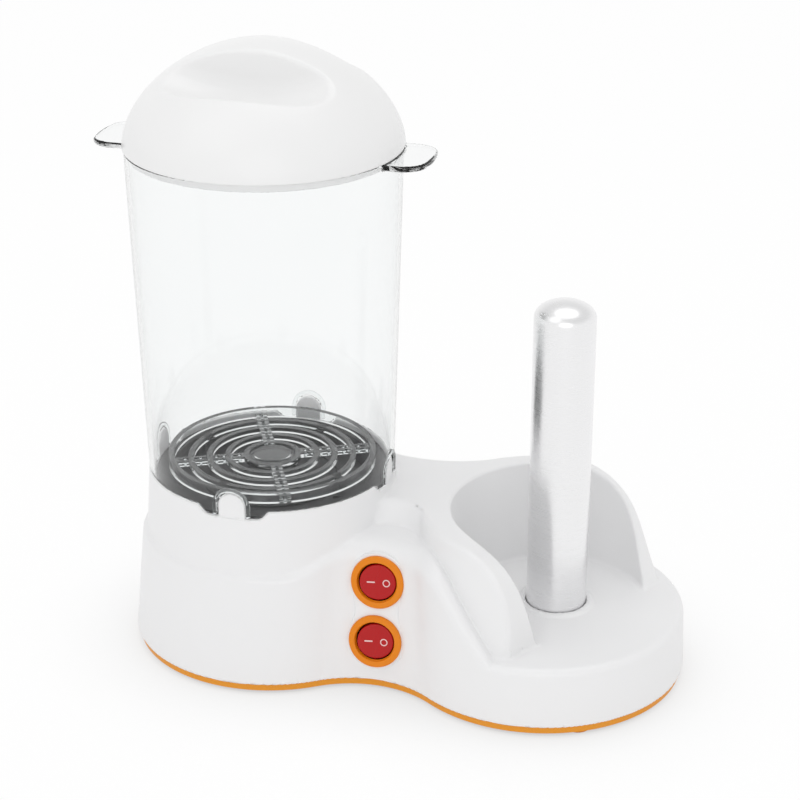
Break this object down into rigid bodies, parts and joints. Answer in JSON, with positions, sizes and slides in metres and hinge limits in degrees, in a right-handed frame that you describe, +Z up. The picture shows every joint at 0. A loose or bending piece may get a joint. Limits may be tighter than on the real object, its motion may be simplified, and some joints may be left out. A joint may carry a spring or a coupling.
{
  "type": "hot dog toaster",
  "caption": "Electric hot dog maker: a clear lidded steaming jar on a two-lobed white housing beside a heated bun spike.",
  "frame": {"origin": "on the table, in the middle of the overall length and width", "axes": "+X from the jar towards the spike, -Y out of the switch panel, +Z up"},
  "size_m": [0.3184, 0.157, 0.334],
  "materials": {
    "white_shell": "satin white moulding",
    "white_lid": "gloss white moulding",
    "orange_base": "gloss orange moulding",
    "orange_feet": "soft orange foot",
    "orange_ring": "gloss orange ring",
    "rocker_red": "translucent red",
    "switch_black": "black moulding",
    "lamp_amber": "small lamp",
    "clear_jar": "clear moulding",
    "clear_rack": "clear moulding",
    "dark_pan": "dark non-stick coat",
    "grey_silicone": "moulded silicone",
    "cast_plate": "as cast",
    "heater_sheath": "heat-stained sheath",
    "strap_steel": "zinc plated strip",
    "zinc_nut": "zinc plated",
    "zinc_screw": "zinc plated",
    "sensor_black": "black phenolic",
    "fuse_clip": "plated clip",
    "spike_steel": "polished stainless tube",
    "black_seat": "heat-proof moulding",
    "ceramic_disc": "unglazed ceramic",
    "black_gland": "moulded rubber",
    "terminal_cream": "cream moulding",
    "terminal_brass": "bright brass"
  },
  "bodies": {
    "base": {"housing": "white_shell", "base_plate": "orange_base", "feet": "orange_feet", "base_screws": "zinc_screw", "heating_pan": "dark_pan", "pan_gasket": "grey_silicone", "heating_plate": "cast_plate", "heating_coil": "heater_sheath", "pan_strap": "strap_steel", "strap_nut": "zinc_nut", "strap_screws": "zinc_screw", "pan_thermostat": "sensor_black", "thermal_fuse": "fuse_clip", "spike_tube": "spike_steel", "spike_gasket": "grey_silicone", "spike_seat": "black_seat", "spike_seat_screws": "zinc_screw", "spike_heater": "heater_sheath", "spike_spacers": "ceramic_disc", "spike_thermostat": "sensor_black", "lower_switch_bezel": "orange_ring", "lower_switch_body": "switch_black", "lower_switch_lamp": "lamp_amber", "lower_switch_blades": "terminal_brass", "upper_switch_bezel": "orange_ring", "upper_switch_body": "switch_black", "upper_switch_lamp": "lamp_amber", "upper_switch_blades": "terminal_brass", "cord_gland": "black_gland", "terminal_block": "terminal_cream", "clamp_screws": "terminal_brass"},
    "jar": {"jar": "clear_jar"},
    "lid": {"lid": "white_lid"},
    "rack": {"steam_rack": "clear_rack"},
    "lower_rocker": {"lower_rocker": "rocker_red"},
    "upper_rocker": {"upper_rocker": "rocker_red"}
  },
  "joints": [
    {"name": "jar_lift", "type": "slide", "parent": "base", "child": "jar", "axis": [0, 0, 1], "range_m": [0, 0.12]},
    {"name": "lid_lift", "type": "slide", "parent": "jar", "child": "lid", "axis": [0, 0, 1], "range_m": [0, 0.1]},
    {"name": "rack_lift", "type": "slide", "parent": "base", "child": "rack", "axis": [0, 0, 1], "range_m": [0, 0.15]},
    {"name": "lower_rocker_turn", "type": "hinge", "parent": "base", "child": "lower_rocker", "pos_m": [0.00405, -0.05124, 0.02905], "axis": [0, 0.1643, 0.9864], "range_deg": [-14, 0]},
    {"name": "upper_rocker_turn", "type": "hinge", "parent": "base", "child": "upper_rocker", "pos_m": [0.00395, -0.04587, 0.06145], "axis": [0, 0.1643, 0.9864], "range_deg": [-14, 0]}
  ]
}
